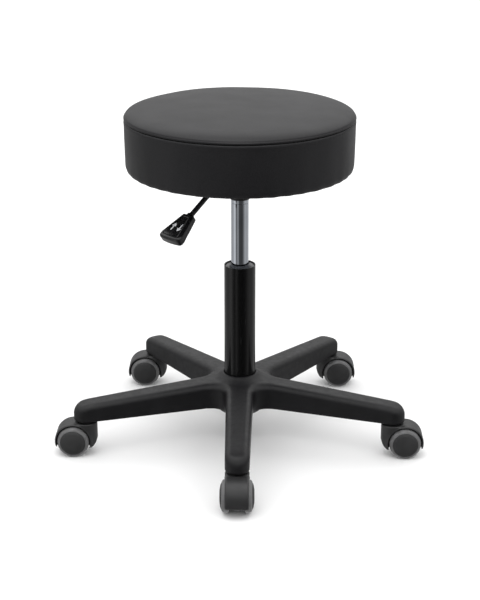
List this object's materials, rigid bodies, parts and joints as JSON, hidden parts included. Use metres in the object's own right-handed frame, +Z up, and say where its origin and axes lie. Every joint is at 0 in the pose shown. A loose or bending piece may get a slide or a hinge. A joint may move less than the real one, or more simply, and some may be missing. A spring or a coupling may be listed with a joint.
{
  "type": "swivel stool",
  "caption": "Round padded swivel stool on a gas lift with a release lever, a star base and twin-wheel casters.",
  "frame": {"origin": "on the floor, under the centre of the footprint's box; the column's axis stands 35.9 mm behind it, at +Y", "axes": "+Z up, +X to the right seen from the front, -Y towards the front caster"},
  "size_m": [0.5856, 0.539, 0.548],
  "materials": {
    "leatherette": "matt coated upholstery sheet with a fine grain",
    "foam": "open-cell foam",
    "plywood": "raw plywood",
    "dust_cloth": "thin non-woven cloth",
    "black_paint": "satin black powder coat",
    "zinc_steel": "zinc plated",
    "chrome": "polished",
    "black_steel": "black e-coat",
    "textured_nylon": "fine moulded texture",
    "hood_plastic": "satin moulded",
    "gloss_plastic": "glossy moulded",
    "grey_tread": "soft grey tyre",
    "white_nylon": "natural nylon",
    "black_rubber": "matt"
  },
  "bodies": {
    "base": {"star_base": "textured_nylon", "column_tube": "black_paint", "column_bushing": "gloss_plastic", "caster_1_stem": "zinc_steel", "caster_2_stem": "zinc_steel", "caster_3_stem": "zinc_steel", "caster_4_stem": "zinc_steel", "caster_5_stem": "zinc_steel"},
    "spindle": {"piston_rod": "chrome", "rod_clip": "zinc_steel", "thrust_bearing": "zinc_steel", "bump_rubber": "black_rubber"},
    "carriage": {"gas_cylinder": "chrome", "taper_socket": "black_steel", "lever_bracket": "black_steel", "lever_bush": "white_nylon", "seat_plate": "black_steel", "plate_bolt_1": "zinc_steel", "plate_bolt_2": "zinc_steel", "plate_bolt_3": "zinc_steel", "plate_bolt_4": "zinc_steel", "seat_dust_cover": "dust_cloth", "seat_board": "plywood", "seat_foam": "foam", "seat_cover_band": "leatherette", "seat_cover_top": "leatherette"},
    "lever": {"lever_rod": "black_steel", "lever_handle": "gloss_plastic", "lever_clip": "zinc_steel"},
    "button": {"release_button": "zinc_steel"},
    "caster_1": {"caster_1_hood": "hood_plastic", "caster_1_axle": "zinc_steel"},
    "wheel_1_left": {"caster_1_wheel_left": "hood_plastic", "caster_1_tread_left": "grey_tread"},
    "wheel_1_right": {"caster_1_wheel_right": "hood_plastic", "caster_1_tread_right": "grey_tread"},
    "caster_2": {"caster_2_hood": "hood_plastic", "caster_2_axle": "zinc_steel"},
    "wheel_2_left": {"caster_2_wheel_left": "hood_plastic", "caster_2_tread_left": "grey_tread"},
    "wheel_2_right": {"caster_2_wheel_right": "hood_plastic", "caster_2_tread_right": "grey_tread"},
    "caster_3": {"caster_3_hood": "hood_plastic", "caster_3_axle": "zinc_steel"},
    "wheel_3_left": {"caster_3_wheel_left": "hood_plastic", "caster_3_tread_left": "grey_tread"},
    "wheel_3_right": {"caster_3_wheel_right": "hood_plastic", "caster_3_tread_right": "grey_tread"},
    "caster_4": {"caster_4_hood": "hood_plastic", "caster_4_axle": "zinc_steel"},
    "wheel_4_left": {"caster_4_wheel_left": "hood_plastic", "caster_4_tread_left": "grey_tread"},
    "wheel_4_right": {"caster_4_wheel_right": "hood_plastic", "caster_4_tread_right": "grey_tread"},
    "caster_5": {"caster_5_hood": "hood_plastic", "caster_5_axle": "zinc_steel"},
    "wheel_5_left": {"caster_5_wheel_left": "hood_plastic", "caster_5_tread_left": "grey_tread"},
    "wheel_5_right": {"caster_5_wheel_right": "hood_plastic", "caster_5_tread_right": "grey_tread"}
  },
  "joints": [
    {"name": "seat_swivel", "type": "hinge", "parent": "base", "child": "spindle", "pos_m": [0, 0.03594, 0.058], "axis": [0, 0, 1], "continuous": true},
    {"name": "seat_height", "type": "slide", "parent": "spindle", "child": "carriage", "axis": [0, 0, 1], "range_m": [-0.1, 0]},
    {"name": "lever_lift", "type": "hinge", "parent": "carriage", "child": "lever", "pos_m": [-0.01768, 0.01827, 0.432], "axis": [-0.7071, 0.7071, 0], "range_deg": [0, 9], "stiffness_Nm_per_rad": 1.5},
    {"name": "button_press", "type": "slide", "parent": "carriage", "child": "button", "axis": [0, 0, -1], "range_m": [0, 0.004]},
    {"name": "caster_1_swivel", "type": "hinge", "parent": "base", "child": "caster_1", "pos_m": [0, -0.22056, 0.0545], "axis": [0, 0, 1], "continuous": true},
    {"name": "wheel_1_left_roll", "type": "hinge", "parent": "caster_1", "child": "wheel_1_left", "pos_m": [0, -0.23996, 0.025], "axis": [1, 0, 0], "continuous": true},
    {"name": "wheel_1_right_roll", "type": "hinge", "parent": "caster_1", "child": "wheel_1_right", "pos_m": [0, -0.23996, 0.025], "axis": [1, 0, 0], "continuous": true},
    {"name": "caster_2_swivel", "type": "hinge", "parent": "base", "child": "caster_2", "pos_m": [0.24395, -0.04332, 0.0545], "axis": [0, 0, 1], "continuous": true},
    {"name": "wheel_2_left_roll", "type": "hinge", "parent": "caster_2", "child": "wheel_2_left", "pos_m": [0.26335, -0.04332, 0.025], "axis": [0, 1, 0], "continuous": true},
    {"name": "wheel_2_right_roll", "type": "hinge", "parent": "caster_2", "child": "wheel_2_right", "pos_m": [0.26335, -0.04332, 0.025], "axis": [0, 1, 0], "continuous": true},
    {"name": "caster_3_swivel", "type": "hinge", "parent": "base", "child": "caster_3", "pos_m": [0.15077, 0.24346, 0.0545], "axis": [0, 0, 1], "continuous": true},
    {"name": "wheel_3_left_roll", "type": "hinge", "parent": "caster_3", "child": "wheel_3_left", "pos_m": [0.17017, 0.24346, 0.025], "axis": [0, 1, 0], "continuous": true},
    {"name": "wheel_3_right_roll", "type": "hinge", "parent": "caster_3", "child": "wheel_3_right", "pos_m": [0.17017, 0.24346, 0.025], "axis": [0, 1, 0], "continuous": true},
    {"name": "caster_4_swivel", "type": "hinge", "parent": "base", "child": "caster_4", "pos_m": [-0.15077, 0.24346, 0.0545], "axis": [0, 0, 1], "continuous": true},
    {"name": "wheel_4_left_roll", "type": "hinge", "parent": "caster_4", "child": "wheel_4_left", "pos_m": [-0.17017, 0.24346, 0.025], "axis": [0, -1, 0], "continuous": true},
    {"name": "wheel_4_right_roll", "type": "hinge", "parent": "caster_4", "child": "wheel_4_right", "pos_m": [-0.17017, 0.24346, 0.025], "axis": [0, -1, 0], "continuous": true},
    {"name": "caster_5_swivel", "type": "hinge", "parent": "base", "child": "caster_5", "pos_m": [-0.24395, -0.04332, 0.0545], "axis": [0, 0, 1], "continuous": true},
    {"name": "wheel_5_left_roll", "type": "hinge", "parent": "caster_5", "child": "wheel_5_left", "pos_m": [-0.26335, -0.04332, 0.025], "axis": [0, -1, 0], "continuous": true},
    {"name": "wheel_5_right_roll", "type": "hinge", "parent": "caster_5", "child": "wheel_5_right", "pos_m": [-0.26335, -0.04332, 0.025], "axis": [0, -1, 0], "continuous": true}
  ],
  "couplings": [
    {"joint": "button_press", "follows": "lever_lift", "m_per_rad": 0.025}
  ]
}
